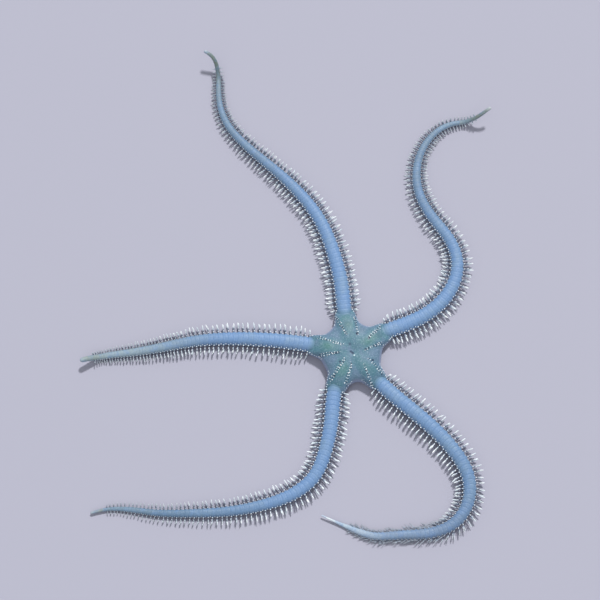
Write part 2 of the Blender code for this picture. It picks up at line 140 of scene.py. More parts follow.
# Marks and painted shade on the disc's back: the place of each from its middle and its size, in
# millimetres, and how pale it is, below 0 where it is dark. Pits lie at the inner ends of the granule
# rows, their darkness painted shade, a pale spot beside a dark streak in the middle, and wide soft
# clouds between them, partly painted shade that dims slopes which the key light brightens.
DISC_MARKS_AND_SHADE = (
    ((1.8, 5.4), 0.5, -0.9),
    ((5.5, 3.8), 0.42, -0.8),
    ((-5.6, -1.1), 0.36, -0.55),
    ((-4.9, -0.95), 0.4, -0.8),
    ((-4.2, -0.9), 0.36, -0.7),
    ((-3.7, -3.8), 0.5, -0.75),
    ((6.8, -3.2), 0.48, -0.9),
    ((4.4, 0.2), 0.36, -0.7),
    ((-5.6, -8.4), 0.4, -0.7),
    ((-0.3, -0.5), 0.32, -0.6),
    ((0.1, -0.85), 0.32, -0.7),
    ((0.5, -1.15), 0.36, -0.8),
    ((0.85, -1.65), 0.42, 0.9),
    ((-0.6, 2.0), 0.5, -0.3),
    ((4.0, 3.0), 0.6, -0.3),
    ((3.6, 7.0), 2.0, -0.34),
    ((-1.6, 8.6), 2.2, -0.36),
    ((8.8, 5.4), 2.2, -0.34),
    ((0.8, 1.0), 3.0, -0.3),
)
MARK_DEPTH = 0.12 * MM
GREEN_LENGTH = 3.2 * MM
GREEN_WIDTH = 1.7 * MM

# Skin of the disc: its lobes run on along the arms' sides and close over them
SKIN_LOBE_REACH = 14.2 * MM
LOBE_CORNER = 8.0
LOBE_SPREAD = 3.3 * MM
LOBE_START = 5.0 * MM
LOBE_GROWTH = 6.0 * MM
SKIN_CREASE = 50
DISC_AROUND = 240
BACK_ROWS = 84
RIM_ROWS = 9
BELLY_ROWS = 14
BELLY_LIFT = 0.4 * MM
BELLY_TOP = 1.5 * MM
BELLY_BLEND = 0.9 * MM
# The hollow over the jaws, as radii and heights from its edge to its middle
MOUTH_HOLLOW = ((3.72, 0.55), (3.68, 1.2), (3.6, 1.95), (2.7, 2.05), (2.0, 2.15), (1.85, 3.1),
                (1.0, 3.4))
SLIT_SPAN = (5.2 * MM, 9.0 * MM)
SLIT_OFF = 2.75 * MM
SLIT_WIDTH = 0.16 * MM
SLIT_DEPTH = 0.35 * MM

# Skin of the arms: a rounded section, in half widths, with a groove at each joint of its plates
ARM_START = 3.95 * MM
START_WIDTH = 0.6
START_GROWTH = 6.0 * MM
SECTION_AROUND = 36
SKIN_HALF_WIDTH = 0.95
SKIN_MIDDLE = 0.76
SKIN_TOP = 1.6
SKIN_BOTTOM = 0.05
BACK_ROUNDNESS = 0.86
UNDER_ROUNDNESS = 0.68
# The length of a segment in millimetres at shares of the way along an arm
SEGMENT_LENGTHS = ((0.0, 1.48), (0.2, 1.72), (0.42, 1.56), (0.7, 1.4), (0.87, 1.2), (1.0, 0.95))
RING_PHASES = (0.0, 0.13, 0.4, 0.7, 0.9)
TIP_RINGS = (1.6, 1.2, 0.9, 0.65, 0.42, 0.24, 0.11, 0.04, 0.0)
TIP_ROUNDING = 0.985
SLIM_TIP_SHARE = 0.14
# The joints bow towards the disc in the middle of the back, by a share of a segment
ARC = 0.24
ARC_MIDDLE = 0.4
# How far parts of the plates stand out or sink in, in half widths
RELIEF = {"back_end": 0.009, "back_joint": -0.015, "side_ridge": 0.08, "side_joint": -0.06,
          "under_joint": -0.035, "under_seam": -0.03}

# Spines: one comb on each side of each segment. Each row states where its roots sit round the
# section, how steeply it rises, its length and radius at the arm's root, the share of its length
# past which it is white, and how far it stands behind the comb. The first row is the white pearls
# on the arm's shoulder.
SPINE_ROWS = (
    {"around": 27, "rise": 72, "length": 0.42 * MM, "radius": 0.14 * MM, "white_from": 0.1,
     "behind": 0.66 * MM},
    {"around": 17, "rise": 58, "length": 1.1 * MM, "radius": 0.19 * MM, "white_from": 0.4},
    {"around": 6, "rise": 38, "length": 2.3 * MM, "radius": 0.155 * MM, "white_from": 0.7},
    {"around": -5, "rise": 22, "length": 3.1 * MM, "radius": 0.18 * MM, "white_from": 0.6},
    {"around": -15, "rise": 9, "length": 3.5 * MM, "radius": 0.21 * MM, "white_from": 0.5},
    {"around": -27, "rise": -1, "length": 2.7 * MM, "radius": 0.18 * MM, "white_from": 0.62},
)
SPINE_PHASE = 0.72
SPINE_SINK = 0.2 * MM
SPINE_PROFILE = ((0.0, 1.1), (0.09, 1.15), (0.14, 0.66), (0.34, 0.56), (0.5, 0.7), (0.66, 0.97),
                 (0.79, 1.0), (0.9, 0.78), (0.97, 0.42))
SPINE_SIDES = 8
SPINE_FLAT = 1.15
SPINE_TAPER = 2.8
SPINE_LEAST = 0.22
SPINE_THINNEST = 0.45
SPINE_ARCH = 0.05
SPINE_STRAY = 0.04
FIRST_SPINES_FROM = 10.9 * MM
FIRST_SPINES_SHARE = 0.5
FIRST_SPINES_REACH = 6.0 * MM
LOBE_SPINES_TO = 14.0 * MM
LOBE_SPINES_BLEND = 1.5 * MM
USUAL_LEAN = 9.0
LYING_LEAN = 64.0
LYING_BLEND = 0.14
LYING_SLIMNESS = 0.7
LYING_GROWTH = 0.3
LYING_RISE = 0.4
LYING_SWAY = 5.0
LYING_DUSK = 0.92
OUTER_DUSK = 0.75
COMB_SWAY = 6.0
SPINE_SWAY = 4.0
# The side of a small piece's patch on the bake map
PATCH = 0.003

# Granules on the back, and scales under the arms
DOME_PROFILE = ((0.0, 1.0), (0.4, 0.93), (0.7, 0.72), (0.9, 0.42))
DOME_SIDES = 8
GRANULE_STEP = 0.86 * MM
GRANULE_LINES = 0.21 * MM
LINES_AT_START = 0.8
LINES_GROWTH = 0.5
LINE_SHIFT = 0.2
GRANULE_RADIUS = 0.2 * MM
GRANULE_HEIGHT = 0.26 * MM
GRANULE_SINK = 0.1 * MM
GRANULE_SIZES = (0.62, 1.22)
GRANULE_TILT = 0.35
DUSKY_RADIUS = 0.19 * MM
DUSKY_HEIGHT = 0.12 * MM
GRANULE_STRAY = 0.17 * MM
# The granules on a lobe's edges: the first one's angle from the arm, the angle that they stop
# short of, and the angle between them, in degrees
EDGE_GRANULES = (12.5, 24.0, 1.9)
EDGE_SHARE = 0.955
EDGE_RADIUS = 0.16 * MM
FOOT_PHASE = 0.8
FEET_FROM = 5.0 * MM
# A foot scale's place across and up, its direction outward, along the arm and up, and its size,
# all in the arm's half widths
FOOT_ACROSS = 0.5
FOOT_LIFT = 0.12
FOOT_WAY = (0.75, 0.6, -0.08)
FOOT_LENGTH = 0.2
FOOT_RADIUS = 0.085
FOOT_FLAT = 1.5

# Mouth: five jaws with papillae along their edges and teeth at their tips, and the shields
MOUTH_SLOT = 0.24 * MM
JAW_TIP = 0.7 * MM
JAW_REACH = 3.85 * MM
JAW_END = 1.02 * JAW_REACH
JAW_LEAST = 0.16 * MM
JAW_RINGS = 20
JAW_AROUND = 40
JAW_MIDDLE = 0.85 * MM
JAW_HALF_HEIGHT = 0.6 * MM
JAW_TIP_HEIGHT = 0.75
JAW_GROOVE = 0.22 * MM
JAW_GROOVE_WIDTH = 0.2 * MM
JAW_CREASE = 60
PAPILLAE = {"count": 5, "reach": 0.78 * JAW_REACH, "sink": 0.1 * MM, "height": 0.42 * MM,
            "length": 0.42 * MM, "radius": 0.17 * MM, "sides": 10, "flat": 0.9}
TEETH = {"count": 4, "ahead": 0.08 * MM, "step": 0.26 * MM, "length": 0.3 * MM,
         "radius": 0.15 * MM}
SHIELDS = {"lift": 0.05 * MM, "sides": 28, "flat": 0.72}
SHIELD_PROFILE = ((0.0, 1.0), (0.45, 0.99), (0.75, 0.93), (0.9, 0.8), (0.97, 0.55))
SIDE_SHIELD = {"out": 4.45 * MM, "aside": 1.0 * MM, "length": 0.24 * MM, "radius": 0.62 * MM}
GREAT_SHIELD = {"out": 5.6 * MM, "length": 0.3 * MM, "radius": 0.95 * MM}


def unit(vectors):
    return vectors / np.linalg.norm(vectors, axis=-1, keepdims=True)


def smooth_step(x):
    x = np.clip(x, 0.0, 1.0)
    return x * x * (3.0 - 2.0 * x)


def srgb(red, green, blue):
    """A screen colour of 0 to 255 as linear light."""
    screen = np.array((red, green, blue)) / 255
    linear = np.where(screen <= 0.04045, screen / 12.92, ((screen + 0.055) / 1.055) ** 2.4)
    return (*linear.tolist(), 1.0)


def smooth_line(places, samples=1200):
    """Points on a natural cubic spline through the places, evenly stepped by chord length."""
    knots = np.concatenate(([0.0], np.cumsum(np.hypot(*np.diff(places, axis=0).T))))
    spans = np.diff(knots)
    count = len(knots)
    system = np.eye(count)
    turns = np.zeros((count, 2))
    for i in range(1, count - 1):
        system[i, i - 1 : i + 2] = spans[i - 1], 2 * (spans[i - 1] + spans[i]), spans[i]
        after = (places[i + 1] - places[i]) / spans[i]
        before = (places[i] - places[i - 1]) / spans[i - 1]
        turns[i] = 6 * (after - before)
    bends = np.linalg.solve(system, turns)
    at = np.linspace(0.0, knots[-1], samples)
    i = np.clip(np.searchsorted(knots, at, side="right") - 1, 0, count - 2)
    span, past, left = spans[i], at - knots[i], knots[i + 1] - at
    bent = (bends[i].T * left**3 + bends[i + 1].T * past**3) / (6 * span)
    start = (places[i].T / span - bends[i].T * span / 6) * left
    end = (places[i + 1].T / span - bends[i + 1].T * span / 6) * past
    return (bent + start + end).T


class Arm:
    """The line along an arm's underside, from the disc's middle to the arm's tip.

    A place on it is given by s, the way along the line, which may be an array.
    """

    def __init__(self, number, facts):
        for name, fact in {**USUAL_ARM, **facts}.items():
            setattr(self, name, fact)
        self.number = number
        self.nodes = [f"arm_{number}_{name}" for name in self.lengths]
        self.line = smooth_line(np.array([(0.0, 0.0), *self.way]) * MM)
        steps = np.hypot(*np.diff(self.line, axis=0).T)
        self.along = np.concatenate(([0.0], np.cumsum(steps)))
        self.length = float(self.along[-1])
        self.joints = self.plate_joints()
        x, y, _ = self.point(ARM_ROOT) - DISC_CENTRE
        self.bearing = math.atan2(y, x)

    def share(self, s):
        """How far along the free arm s is, from 0 at its root to 1 at its tip."""
        return (s - ARM_ROOT) / (self.length - ARM_ROOT)

    def point(self, s):
        x, y = (np.interp(s, self.along, self.line[:, k]) for k in (0, 1))
        lift = self.tip_lift * smooth_step(1 - (1 - self.share(s)) / TIP_LIFT_SHARE)
        return DISC_CENTRE + np.stack((x, y, lift), axis=-1)

    def frame(self, s):
        """The point at s, and the directions along, to the left and up there."""
        step = 0.4 * MM
        along = unit(self.point(np.minimum(s + step, self.length)) - self.point(s - step))
        left = unit(np.cross(UP, along))
        return self.point(s), along, left, np.cross(along, left)

    def rounding(self, s):
        """The share of its width that the arm keeps where its very end is rounded off."""
        past = np.maximum(0.0, 1 - (self.length - s) / self.tip_half_width)
        return np.sqrt(1 - TIP_ROUNDING * np.minimum(1.0, past) ** 2)

    def half_width(self, s):
        """Half the arm's width, which tapers to the tip and is rounded off at its end."""
        left = 1 - np.maximum(0.0, self.share(s)) ** self.taper
        width = self.tip_half_width + (ARM_HALF_WIDTH - self.tip_half_width) * left
        grown = START_WIDTH + (1 - START_WIDTH) * smooth_step((s - ARM_START) / START_GROWTH)
        slim = 1 - (1 - self.tip_slimness) * smooth_step(1 - (1 - self.share(s)) / SLIM_TIP_SHARE)
        return width * grown * slim * self.rounding(s)

    def segment(self, s):
        """The length of one of the arm's segments at s."""
        share = float(self.share(s))
        outer = 1 - (1 - self.outer_segments) * smooth_step((share - 0.4) / 0.2)
        return float(np.interp(share, *zip(*SEGMENT_LENGTHS))) * outer * MM

    def plate_joints(self):
        """Where the arm's plates meet, from inside the disc to the plate at the tip."""
        joints = [ARM_START]
        end = self.length - 2 * self.tip_half_width
        while joints[-1] < end:
            joints.append(joints[-1] + self.segment(joints[-1]))
        over = (joints[-1] - end) / (joints[-1] - joints[0])
        return np.array([joint - over * (joint - joints[0]) for joint in joints])

    def plate_number(self, s):
        """s counted in plates, as a number that grows evenly between two joints."""
        return np.interp(s, self.joints, np.arange(len(self.joints)))

    def stations(self, phase, start):
        """The place at this phase of each plate, from start to where the tip is bare."""
        places = self.joints[:-1] + phase * np.diff(self.joints)
        return places[(places > start) & (places < self.length - self.bare)]


def object_from(name, mesh, material):
    obj = bpy.data.objects.new(name, mesh)
    bpy.context.scene.collection.objects.link(obj)
    if material is not None:
        mesh.materials.append(material)
    return obj


def mesh_of(name, points, faces):
    mesh = bpy.data.meshes.new(name)
    mesh.from_pydata(points.tolist(), [], [list(map(int, face)) for face in faces])
    mesh.shade_smooth()
    return mesh


def store(mesh, name, values):
    """Keeps one number for each of the mesh's points, for its material to read."""
    layer = mesh.attributes.new(name, "FLOAT", "POINT")
    layer.data.foreach_set("value", np.asarray(values, dtype=np.float32))


def points_of(mesh):
    places = np.empty(len(mesh.vertices) * 3, dtype=np.float32)
    mesh.vertices.foreach_get("co", places)
    return places.reshape(-1, 3).astype(float)


def ring_faces(rows, around):
    """Faces between rows of points, each row a closed ring of as many points."""
    row, at = np.meshgrid(np.arange(rows - 1), np.arange(around), indexing="ij")
    after = (at + 1) % around
    corners = (row * around + at, row * around + after)
    corners += ((row + 1) * around + after, (row + 1) * around + at)
    return np.stack(corners, axis=-1).reshape(-1, 4)


def closed_tube(name, rings, first, last):
    """A closed mesh of rings, with a point that closes each end."""
    rows, around = rings.shape[:2]
    points = np.concatenate((rings.reshape(-1, 3), (first, last)))
    faces = ring_faces(rows, around).tolist()
    start, end, base = rows * around, rows * around + 1, (rows - 1) * around
    for k in range(around):
        after = (k + 1) % around
        faces.append((start, after, k))
        faces.append((end, base + k, base + after))
    return mesh_of(name, points, faces)


# The skin's form


def skin_section(angle):
    """A point of the smooth section at an angle, as its way across and its height."""
    across, rise = np.cos(angle), np.sin(angle)
    power = np.where(rise > 0, BACK_ROUNDNESS, UNDER_ROUNDNESS)
    depth = np.where(rise > 0, SKIN_TOP - SKIN_MIDDLE, SKIN_MIDDLE - SKIN_BOTTOM)
    across = SKIN_HALF_WIDTH * np.sign(across) * np.abs(across) ** power
    return across, SKIN_MIDDLE + depth * np.sign(rise) * np.abs(rise) ** power


def plate_relief(phase, angle):
    """How far the plates stand out from the smooth section, in half widths."""
    rise = np.sin(angle)
    back = smooth_step((rise - 0.45) / 0.3)
    under = smooth_step((-rise - 0.5) / 0.3)
    side = 1 - back - under
    joint = np.exp(-((np.minimum(phase, 1 - phase) / 0.1) ** 2))
    ridge = np.exp(-(((phase - SPINE_PHASE) / 0.2) ** 2))
    seam = np.exp(-(((np.abs(np.cos(angle)) - 0.5) / 0.1) ** 2))
    on_back = RELIEF["back_end"] * phase + RELIEF["back_joint"] * joint
    on_side = RELIEF["side_ridge"] * ridge + RELIEF["side_joint"] * joint
    on_under = RELIEF["under_joint"] * joint + RELIEF["under_seam"] * seam
    return back * on_back + side * on_side + under * on_under


def bow(across, on_back):
    """How far along the arm the joints curve, in segments, where on_back is 0 to 1."""
    return on_back * ARC * (across**2 - ARC_MIDDLE)


def arm_skin(arm):
    """The closed skin of one arm, from inside the disc to the tip."""
    spans = np.diff(arm.joints)
    ways = [joint + span * phase for joint, span in zip(arm.joints, spans) for phase in RING_PHASES]
    ways += [arm.length - share * arm.tip_half_width for share in TIP_RINGS]
    phases = np.array(list(RING_PHASES) * len(spans) + [0.5] * len(TIP_RINGS))
    ways = np.sort(np.array(ways))
    angle = np.radians(-90 + 360 * np.arange(SECTION_AROUND) / SECTION_AROUND)[None, :]
    across, height = skin_section(angle)
    bowed = bow(across, smooth_step((np.sin(angle) + 0.1) / 0.5))
    pitch = np.interp(ways, arm.joints[:-1], spans)[:, None]
    calm = smooth_step((arm.length - ways[:, None]) / (3 * arm.tip_half_width) - 0.3)
    s = np.clip(ways[:, None] + bowed * pitch * calm, 0.0, arm.length)
    relief = plate_relief(phases[:, None], angle) * calm
    out = np.hypot(across, height - SKIN_MIDDLE)
    across = across * (1 + relief / out)
    height = np.maximum(SKIN_MIDDLE + (height - SKIN_MIDDLE) * (1 + relief / out), 0.02)
    place, _, left, up = arm.frame(s)
    width = arm.half_width(s)
    lift = SKIN_MIDDLE * width * (1 / arm.rounding(s) - 1)
    rings = place + (width * across)[..., None] * left + (width * height + lift)[..., None] * up
    return closed_tube("arm_skin", rings, rings[0].mean(axis=0), rings[-1].mean(axis=0))


def turn_from_arm(angle, bearings):
    """The angle to the nearest arm, without a sign."""
    turns = [np.remainder(angle - bearing + np.pi, 2 * np.pi) - np.pi for bearing in bearings]
    return np.min(np.abs(turns), axis=0)


def off_ray(radius, angle, bearings):
    """How far a place on the disc lies from the line that runs to the nearest arm."""
    return radius * np.sin(np.minimum(turn_from_arm(angle, bearings), np.pi / 2))


def disc_reach(angle, bearings):
    """The disc's radius at an angle: a round edge that runs out into a lobe at each arm."""
    off = np.maximum(turn_from_arm(angle, bearings), 0.01)
    flank = LOBE_HALF_WIDTH / np.sin(off)
    lobe = (flank**-LOBE_CORNER + SKIN_LOBE_REACH**-LOBE_CORNER) ** (-1 / LOBE_CORNER)
    return (DISC_EDGE_RADIUS**LOBE_BLEND + lobe**LOBE_BLEND) ** (1 / LOBE_BLEND)


def back_height(angle, share, bearings):
    """The height of the disc's back at a share of the way out to its edge."""
    radius = share * disc_reach(angle, bearings)
    off = off_ray(radius, angle, bearings)
    in_lobe = np.exp(-((off / LOBE_SPREAD) ** 4)) * smooth_step((radius - LOBE_START) / LOBE_GROWTH)
    dome = np.maximum(0.0, 1 - share**DOME_POWER) ** (0.5 + 0.5 * in_lobe)
    rib = RIB_HEIGHT * smooth_step(radius / RIB_START) * np.exp(-((off / RIB_SPREAD) ** 2))
    return DISC_RIM_HEIGHT + (DISC_HEIGHT - DISC_RIM_HEIGHT + rib) * dome


def disc_marks_and_shade(x, y):
    """How pale the marks and the painted shade on the disc's back make a place, or how dark where it
    is below 0.
    """
    marks_and_shade = np.zeros_like(x)
    for (mark_x, mark_y), size, pale in DISC_MARKS_AND_SHADE:
        away = np.hypot(x / MM - mark_x, y / MM - mark_y) / size
        marks_and_shade += pale * np.exp(-(away**3))
    return marks_and_shade


def disc_skin(bearings):
    """The closed skin of the disc: its back, its rim, its belly and the hollow of the mouth."""
    angle = bearings[0] + 2 * np.pi * np.arange(DISC_AROUND) / DISC_AROUND
    reach = disc_reach(angle, bearings)
    rows = []
    for k in range(1, BACK_ROWS + 1):
        share = math.sin(math.pi / 2 * k / BACK_ROWS)
        rows.append((share * reach, back_height(angle, share, bearings)))
    for k in range(1, RIM_ROWS + 1):
        turn = math.pi / 2 * k / RIM_ROWS
        share = BELLY_FLAT_SHARE + (1 - BELLY_FLAT_SHARE) * math.cos(turn)
        height = BELLY_LIFT + (DISC_RIM_HEIGHT - BELLY_LIFT) * (1 - math.sin(turn))
        rows.append((share * reach, np.full(DISC_AROUND, height)))
    edge = MOUTH_HOLLOW[0][0] * MM
    for k in range(1, BELLY_ROWS):
        radius = BELLY_FLAT_SHARE * reach * (1 - k / BELLY_ROWS) + edge * k / BELLY_ROWS
        aside = np.abs(off_ray(radius, angle, bearings) - SLIT_OFF) / SLIT_WIDTH
        within = smooth_step((radius - SLIT_SPAN[0]) / MM) * smooth_step((SLIT_SPAN[1] - radius) / MM)
        rows.append((radius, BELLY_LIFT + SLIT_DEPTH * np.exp(-(aside**2)) * within))
    for radius, height in MOUTH_HOLLOW:
        rows.append((np.full(DISC_AROUND, radius * MM), np.full(DISC_AROUND, height * MM)))
    radii = np.array([row[0] for row in rows])
    heights = np.array([row[1] for row in rows])
    x, y = radii * np.cos(angle), radii * np.sin(angle)
    heights[:BACK_ROWS] += MARK_DEPTH * np.minimum(0.0, disc_marks_and_shade(x, y)[:BACK_ROWS])
    rings = np.stack((x, y, heights), axis=-1)
    crown = DISC_CENTRE + UP * DISC_HEIGHT
    vault = DISC_CENTRE + UP * (MOUTH_HOLLOW[-1][1] * MM)
    mesh = closed_tube("disc_skin", DISC_CENTRE + rings, crown, vault)
    mesh.flip_normals()
    return mesh


def join_skins(skins):
    """Fuses the first of the closed skins with the others, into one closed skin."""
    others = bpy.data.collections.new("skins")
    bpy.context.scene.collection.children.link(others)
    for obj in skins[1:]:
        bpy.context.scene.collection.objects.unlink(obj)
        others.objects.link(obj)
    union = skins[0].modifiers.new("join", "BOOLEAN")
    union.operation = "UNION"
    union.operand_type = "COLLECTION"
    union.collection = others
    union.solver = "MANIFOLD"
    union.material_mode = "TRANSFER"
    bpy.context.view_layer.update()
    graph = bpy.context.evaluated_depsgraph_get()
    skins[0].data = bpy.data.meshes.new_from_object(skins[0].evaluated_get(graph))
    skins[0].modifiers.clear()
    for obj in list(others.objects):
        bpy.data.objects.remove(obj, do_unlink=True)
    bpy.data.collections.remove(others)
    return skins[0]


def place_on_arms(points, arms):
    """The nearest arm of each point, and its way along it, aside and up in half widths."""
    samples = [(arm, s) for arm in arms for s in np.arange(0.0, arm.length, 0.25 * MM)]
    tree = KDTree(len(samples))
    for k, (arm, s) in enumerate(samples):
        tree.insert(arm.point(s) + UP * SKIN_MIDDLE * arm.half_width(s), k)
    tree.balance()
    nearest = np.array([tree.find(point)[1] for point in points])
    owner = np.array([samples[k][0].number for k in range(len(samples))])[nearest]
    way = np.array([s for _, s in samples])[nearest]
    facts = np.zeros((len(points), 4))
    for arm in arms:
        mine = owner == arm.number
        s = way[mine]
        for _ in range(2):
            place, along, left, up = arm.frame(s)
            s = np.clip(s + np.sum((points[mine] - place) * along, axis=-1), 0.0, arm.length)
        place, along, left, up = arm.frame(s)
        off = points[mine] - place
        width = arm.half_width(s)
        across = np.sum(off * left, axis=-1) / width
        height = np.sum(off * up, axis=-1) / width
        bowed = bow(across, smooth_step((height - SKIN_MIDDLE) / 0.4 + 0.1))
        pitch = np.interp(s, arm.joints[:-1], np.diff(arm.joints))
        plates = arm.plate_number(s - bowed * pitch)
        facts[mine] = np.stack((arm.share(s), across, height, plates), axis=-1)
    return owner, facts


def build_skin(arms, bearings, materials):
    disc = object_from("skin", disc_skin(bearings), materials["disc"])
    sleeves = [object_from("sleeve", arm_skin(arm), materials["arm"]) for arm in arms]
    skin = join_skins([disc, *sleeves])
    mesh = skin.data
    points = points_of(mesh)
    owner, facts = place_on_arms(points, arms)
    numbers = dict(zip(("arm_share", "arm_across", "arm_height", "arm_plates"), facts.T))
    x, y, _ = (points - DISC_CENTRE).T
    angle, radius = np.arctan2(y, x), np.hypot(x, y)
    green = np.zeros_like(x)
    for arm in arms:
        out = x * math.cos(arm.bearing) + y * math.sin(arm.bearing)
        aside = y * math.cos(arm.bearing) - x * math.sin(arm.bearing)
        inside = ((out - arm.green_out) / GREEN_LENGTH) ** 2
        green += arm.ray_green * np.exp(-inside - (aside / GREEN_WIDTH) ** 2)
    numbers["ray_green"] = green
    for colour in ("green", "pale", "fair"):
        numbers[f"outer_{colour}"] = np.array([getattr(arm, colour) for arm in arms])[owner - 1]
    on_back = smooth_step((points[:, 2] - DISC_RIM_HEIGHT) / MM)
    numbers["disc_marks_and_shade"] = disc_marks_and_shade(x, y) * on_back
    numbers["belly"] = smooth_step((BELLY_TOP - points[:, 2]) / BELLY_BLEND)
    numbers["disc_off"] = off_ray(radius, angle, bearings) / MM
    numbers["disc_rim"] = radius / disc_reach(angle, bearings)
    for name, values in numbers.items():
        store(mesh, name, values)
    mesh.shade_smooth()
    mesh.set_sharp_from_angle(angle=math.radians(SKIN_CREASE))
    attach(skin, BODY)
    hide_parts("disc", *(node for arm in arms for node in arm.nodes))
    return skin


# Many small tapered pieces in one mesh


def tapered_pieces(name, stands, profile, sides, material):
    """One mesh of tapered pieces. Each stand gives its root, its direction, its side, its length,
    radius and bend, its place on the bake map and the numbers its material reads.
    """
    count, rows = len(stands["root"]), len(profile)
    along, thick = np.array(profile).T
    direction = unit(stands["direction"])
    aside = unit(stands["side"] - direction * np.sum(stands["side"] * direction, -1)[:, None])
    other = np.cross(direction, aside)
    turn = 2 * np.pi * np.arange(sides) / sides
    root, bend = stands["root"][:, None, None, :], stands["bend"][:, None, None, :]
    length = stands["length"][:, None, None, None]
    radius = stands["radius"][:, None, None, None]
    t = along[None, :, None, None]
    ring = np.cos(turn)[None, None, :, None] * aside[:, None, None, :]
    ring = ring + np.sin(turn)[None, None, :, None] * other[:, None, None, :] * stands["flat"]
    middle = root + length * (t * direction[:, None, None, :] + t**2 * bend)
    rings = middle + radius * thick[None, :, None, None] * ring
    tips = stands["root"] + stands["length"][:, None] * (direction + stands["bend"])
    points = np.concatenate((rings.reshape(count, -1, 3), tips[:, None, :]), axis=1)
    each = points.shape[1]
    # The corners of one piece's faces, as rows and places round it. The tip is a row past the last.
    faces = [
        ((row, at), (row, at + 1), (row + 1, at + 1), (row + 1, at))
        for row in range(rows - 1) for at in range(sides)
    ]
    faces += [((rows - 1, at), (rows - 1, at + 1), (rows, at + 0.5)) for at in range(sides)]
    corners = [[min(row * sides + int(at) % sides, each - 1) for row, at in face] for face in faces]
    starts = range(0, count * each, each)
    everywhere = [[start + k for k in face] for start in starts for face in corners]
    mesh = mesh_of(name, points.reshape(-1, 3), everywhere)
    shares = [*along, 1.0]
    on_patch = np.array([(shares[row], at / sides) for face in faces for row, at in face]) - 0.5
    places = stands["map"][:, None, :] + PATCH * on_patch
    mesh.uv_layers.new(name="OFBake").data.foreach_set("uv", places.ravel().astype(np.float32))
    store(mesh, "along", np.tile(np.append(np.repeat(along, sides), 1.0), count))
    for key, values in stands["numbers"].items():
        store(mesh, key, np.repeat(values, each))
    return object_from(name, mesh, material)


def chosen_stands(stands, chosen):
    """The stands where chosen is true."""
    numbers = {key: values[chosen] for key, values in stands["numbers"].items()}
    others = {key: values[chosen] for key, values in stands.items() if np.ndim(values) > 0}
    return {"flat": stands["flat"], "numbers": numbers, **others}


def spine_stands(arm, rng):
    """Where each of an arm's spines stands, from its root to near its tip. The spines are laid out
    from a little further in, and those on the disc are left out.
    """
    ways = arm.stations(SPINE_PHASE, FIRST_SPINES_FROM)
    rows = range(len(SPINE_ROWS))
    station, row, side = (grid.ravel() for grid in np.meshgrid(ways, rows, (-1.0, 1.0), indexing="ij"))
    count = len(station)
    fact = {key: np.array([each.get(key, 0.0) for each in SPINE_ROWS])[row] for key in SPINE_ROWS[0]}
    station = station - fact["behind"]
    around = np.radians(fact["around"])
    across, height = skin_section(around)
    place, along, left, up = arm.frame(station)
    share = arm.share(station)
    width = arm.half_width(station)
    in_lobe = smooth_step((LOBE_SPINES_TO - station) / LOBE_SPINES_BLEND)
    out = width * across + in_lobe * (LOBE_HALF_WIDTH - width * across) * np.cos(around)
    root = place + (side * out)[:, None] * left + (width * height)[:, None] * up
    lying = smooth_step((share - arm.lying_from) / LYING_BLEND)
    white_from = fact["white_from"] + rng.uniform(-0.05, 0.05, count)
    comb = rng.uniform(-COMB_SWAY, COMB_SWAY, (len(ways), 1, 2)) * np.ones((1, len(rows), 1))
    loose = 1 + (LYING_SWAY - 1) * lying
    sway = comb.ravel() + rng.uniform(-SPINE_SWAY, SPINE_SWAY, count) * loose
    lean = np.radians(USUAL_LEAN + (LYING_LEAN - USUAL_LEAN) * lying + sway)
    lowered = 1 - (1 - LYING_RISE) * lying
    rise = np.radians(fact["rise"] * lowered + rng.uniform(-SPINE_SWAY, SPINE_SWAY, count))
    outward = (side * np.cos(rise))[:, None] * left + np.sin(rise)[:, None] * up
    direction = np.cos(lean)[:, None] * outward + np.sin(lean)[:, None] * along
    grown = smooth_step((station - FIRST_SPINES_FROM) / FIRST_SPINES_REACH)
    grown = FIRST_SPINES_SHARE + (1 - FIRST_SPINES_SHARE) * grown
    tapered = SPINE_LEAST + (1 - SPINE_LEAST) * (1 - np.clip(share, 0.0, 1.0) ** SPINE_TAPER)
    length = fact["length"] * grown * tapered * (1 + LYING_GROWTH * lying)
    length = length * rng.uniform(0.86, 1.06, count)
    slim = SPINE_THINNEST + (1 - SPINE_THINNEST) * (width / ARM_HALF_WIDTH)
    thin = slim * (1 - (1 - LYING_SLIMNESS) * lying)
    on_map = (0.02 + 0.96 * station / arm.length, (around * side + np.pi) / (2 * np.pi))
    stands = {
        "root": root - direction * SPINE_SINK * slim[:, None],
        "direction": direction,
        "side": up,
        "length": length + SPINE_SINK * slim,
        "radius": fact["radius"] * thin * rng.uniform(0.93, 1.07, count),
        "bend": SPINE_ARCH * up + SPINE_STRAY * rng.uniform(-1, 1, count)[:, None] * along,
        "flat": SPINE_FLAT,
        "map": np.stack(on_map, -1),
        "numbers": {
            "white_from": white_from,
            "tint": rng.uniform(0, 1, count),
            "dusk": np.maximum(LYING_DUSK * lying, OUTER_DUSK * smooth_step((share - 0.3) / 0.75)),
        },
    }
    return chosen_stands(stands, share >= 0)


def build_spines(arm, material, rng):
    spines = tapered_pieces(
        f"spines_{arm.number}", spine_stands(arm, rng), SPINE_PROFILE, SPINE_SIDES, material
    )
    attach(spines, BODY)
    return spines


